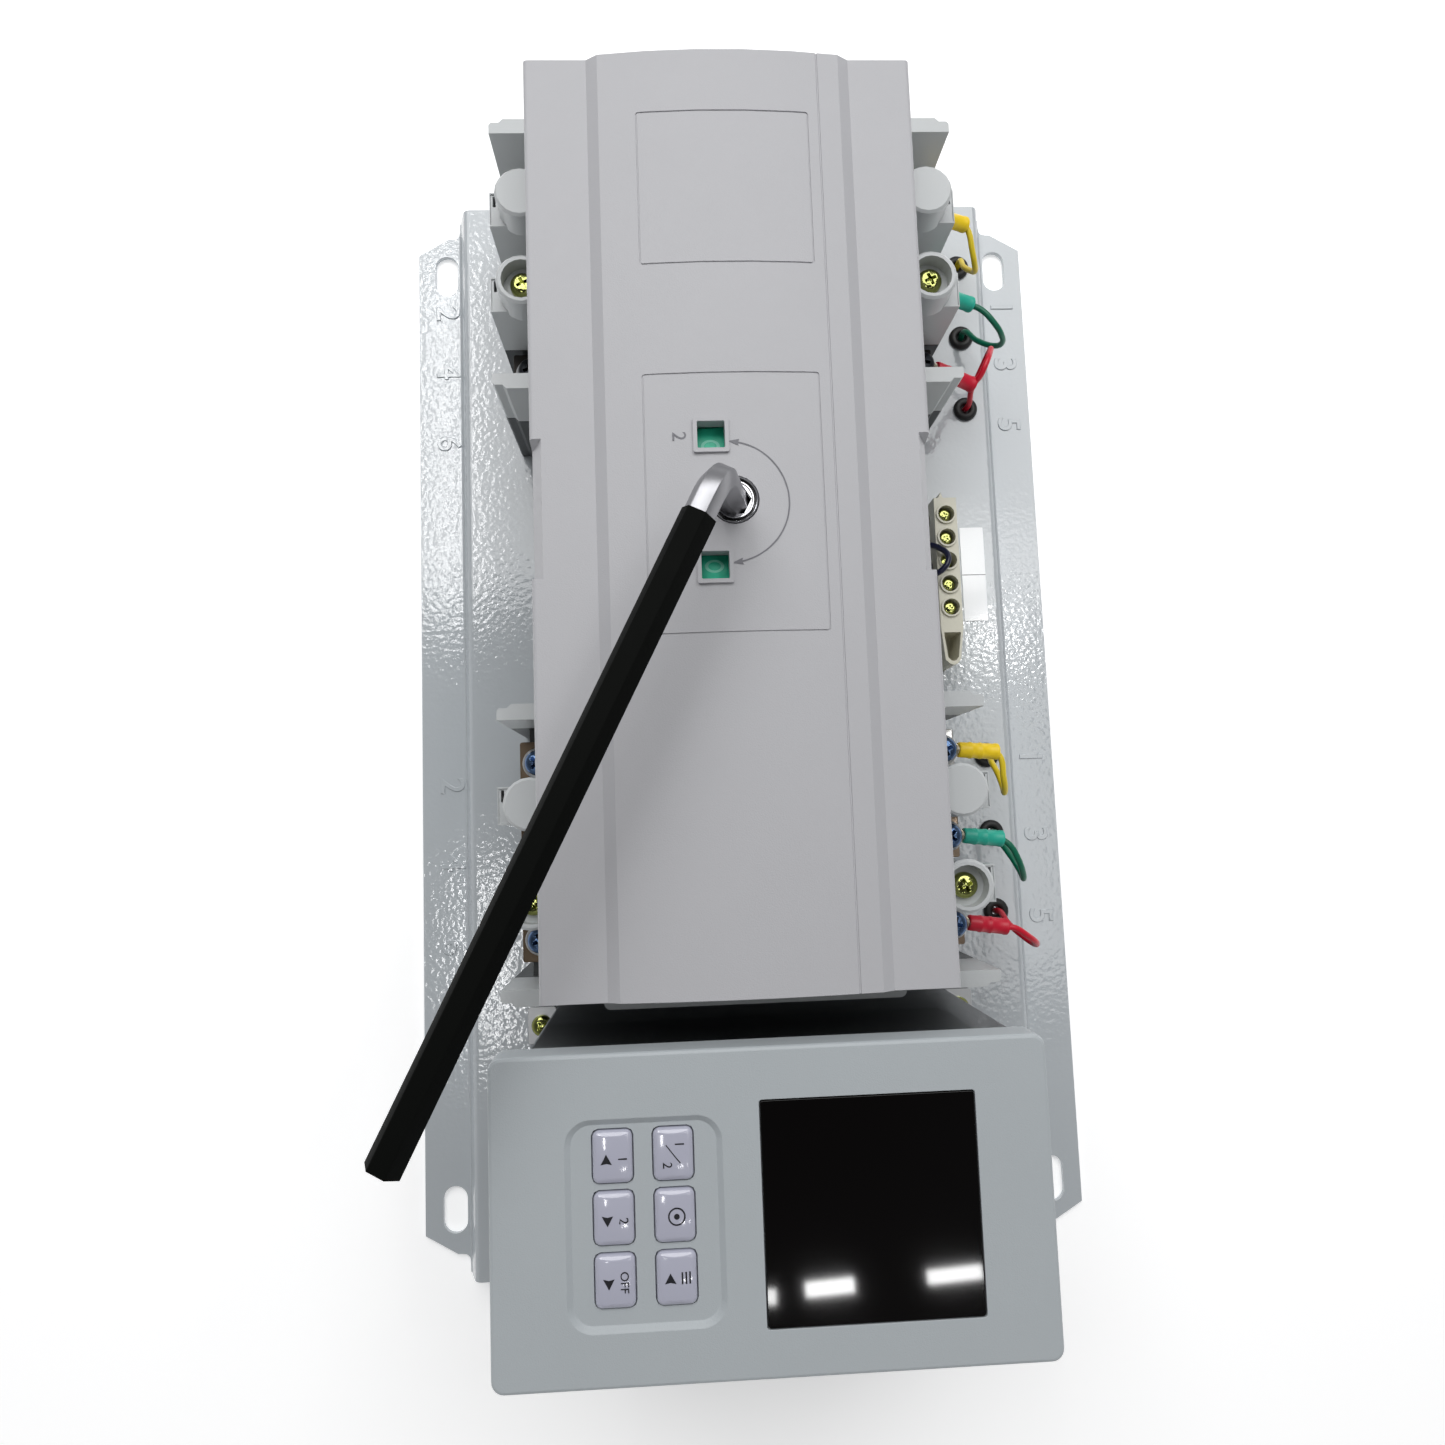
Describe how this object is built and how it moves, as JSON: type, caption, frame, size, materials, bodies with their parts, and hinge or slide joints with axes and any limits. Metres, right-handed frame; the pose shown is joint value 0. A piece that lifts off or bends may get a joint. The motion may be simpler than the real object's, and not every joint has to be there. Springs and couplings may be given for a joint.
{
  "type": "automatic transfer switch",
  "caption": "Motor-driven changeover switch: paired moulded-case breakers on a steel plate, a geared drive under a long cover, and a controller with display and keys.",
  "frame": {"origin": "centre of the base plate, on the back of its mounting flanges", "axes": "+Z away from the mounting surface towards the front cover, +Y along the plate away from the controller, +X to the right seen from the front"},
  "size_m": [0.25, 0.413, 0.1546],
  "materials": {
    "base_moulding": "dark grey moulding",
    "bezel_plastic": "grey plastic with a fine texture",
    "black_gloss": "glossy black window",
    "black_plastic": "satin black",
    "blue_insulation": "dark blue insulation",
    "chrome": "polished chrome",
    "circuit": "green circuit board",
    "cover_moulding": "light grey moulding",
    "dark_steel": "dark smooth coat",
    "front_plastic": "light grey plastic with a fine texture",
    "green_insulation": "green insulation",
    "green_plastic": "green",
    "ivory_plastic": "ivory",
    "key_plastic": "glossy pale lilac grey",
    "powder_coat": "pale grey powder coat with a slight orange peel",
    "red_insulation": "red insulation",
    "rubber": "black rubber",
    "steel": "machined steel",
    "terminal_copper": "copper pad under a zinc-plated screw",
    "yellow_insulation": "yellow insulation",
    "yellow_zinc": "yellow passivated zinc",
    "zinc_steel": "zinc-plated sheet steel"
  },
  "bodies": {
    "chassis": {"upper_breaker_base": "base_moulding", "upper_breaker_cover": "cover_moulding", "upper_fixing_screw_left": "yellow_zinc", "upper_fixing_screw_right": "yellow_zinc", "upper_line_terminal_1": "terminal_copper", "upper_load_terminal_1": "terminal_copper", "upper_grommet_1": "rubber", "upper_line_terminal_2": "terminal_copper", "upper_load_terminal_2": "terminal_copper", "upper_grommet_2": "rubber", "upper_line_terminal_3": "terminal_copper", "upper_load_terminal_3": "terminal_copper", "upper_grommet_3": "rubber", "upper_yellow_lead": "yellow_insulation", "upper_green_lead": "green_insulation", "upper_red_lead": "red_insulation", "lower_breaker_base": "base_moulding", "lower_breaker_cover": "cover_moulding", "lower_fixing_screw_left": "yellow_zinc", "lower_fixing_screw_right": "yellow_zinc", "lower_line_terminal_1": "terminal_copper", "lower_load_terminal_1": "terminal_copper", "lower_grommet_1": "rubber", "lower_line_terminal_2": "terminal_copper", "lower_load_terminal_2": "terminal_copper", "lower_grommet_2": "rubber", "lower_line_terminal_3": "terminal_copper", "lower_load_terminal_3": "terminal_copper", "lower_grommet_3": "rubber", "lower_yellow_lead": "yellow_insulation", "lower_green_lead": "green_insulation", "lower_red_lead": "red_insulation", "base_plate": "powder_coat", "mechanism_bracket": "zinc_steel", "drive_motor": "dark_steel", "front_cover": "front_plastic", "socket_ring": "chrome", "controller_case": "dark_steel", "controller_bezel": "bezel_plastic", "display_window": "black_gloss", "circuit_board": "circuit", "neutral_block": "ivory_plastic", "neutral_bar": "yellow_zinc", "neutral_lead": "blue_insulation", "neutral_grommet": "rubber"},
    "shaft": {"drive_shaft": "steel", "drive_gear": "steel"},
    "hand_key": {"hex_key": "chrome", "key_sleeve": "black_plastic"},
    "upper_slider": {"upper_carriage": "green_plastic"},
    "lower_slider": {"lower_carriage": "green_plastic"},
    "upper_handle": {"upper_toggle": "black_plastic"},
    "lower_handle": {"lower_toggle": "black_plastic"},
    "pinion": {"motor_pinion": "steel"},
    "button_source_1": {"key_source_1": "key_plastic"},
    "button_source_2": {"key_source_2": "key_plastic"},
    "button_off": {"key_off": "key_plastic"},
    "button_mode": {"key_mode": "key_plastic"},
    "button_set": {"key_set": "key_plastic"},
    "button_query": {"key_query": "key_plastic"}
  },
  "joints": [
    {"name": "drive_turn", "type": "hinge", "parent": "chassis", "child": "shaft", "pos_m": [-0.007, 0.049, 0.1], "axis": [0, 0, 1], "range_deg": [-90, 90]},
    {"name": "upper_slide", "type": "slide", "parent": "chassis", "child": "upper_slider", "axis": [1, 0, 0], "range_m": [-0.0127, 0.0127]},
    {"name": "lower_slide", "type": "slide", "parent": "chassis", "child": "lower_slider", "axis": [1, 0, 0], "range_m": [-0.0127, 0.0127]},
    {"name": "upper_throw", "type": "hinge", "parent": "chassis", "child": "upper_handle", "pos_m": [-0.004, 0.1495, 0.064], "axis": [0, 1, 0], "range_deg": [-19.3, 19.3]},
    {"name": "lower_throw", "type": "hinge", "parent": "chassis", "child": "lower_handle", "pos_m": [-0.004, -0.0505, 0.064], "axis": [0, 1, 0], "range_deg": [-19.3, 19.3]},
    {"name": "motor_turn", "type": "hinge", "parent": "chassis", "child": "pinion", "pos_m": [0.023, 0.049, 0.0946], "axis": [0, 0, 1], "range_deg": [-361, 361]},
    {"name": "key_lift", "type": "slide", "parent": "shaft", "child": "hand_key", "axis": [0, 0, 1], "range_m": [0, 0.03]},
    {"name": "press_source_1", "type": "slide", "parent": "chassis", "child": "button_source_1", "axis": [0, 0, -1], "range_m": [0, 0.001], "stiffness_N_per_m": 800},
    {"name": "press_source_2", "type": "slide", "parent": "chassis", "child": "button_source_2", "axis": [0, 0, -1], "range_m": [0, 0.001], "stiffness_N_per_m": 800},
    {"name": "press_off", "type": "slide", "parent": "chassis", "child": "button_off", "axis": [0, 0, -1], "range_m": [0, 0.001], "stiffness_N_per_m": 800},
    {"name": "press_mode", "type": "slide", "parent": "chassis", "child": "button_mode", "axis": [0, 0, -1], "range_m": [0, 0.001], "stiffness_N_per_m": 800},
    {"name": "press_set", "type": "slide", "parent": "chassis", "child": "button_set", "axis": [0, 0, -1], "range_m": [0, 0.001], "stiffness_N_per_m": 800},
    {"name": "press_query", "type": "slide", "parent": "chassis", "child": "button_query", "axis": [0, 0, -1], "range_m": [0, 0.001], "stiffness_N_per_m": 800}
  ],
  "couplings": [
    {"joint": "upper_slide", "follows": "drive_turn", "m_per_rad": -0.008},
    {"joint": "lower_slide", "follows": "drive_turn", "m_per_rad": 0.008},
    {"joint": "upper_throw", "follows": "drive_turn", "ratio": -0.21271},
    {"joint": "lower_throw", "follows": "drive_turn", "ratio": 0.21271},
    {"joint": "motor_turn", "follows": "drive_turn", "ratio": -4}
  ]
}
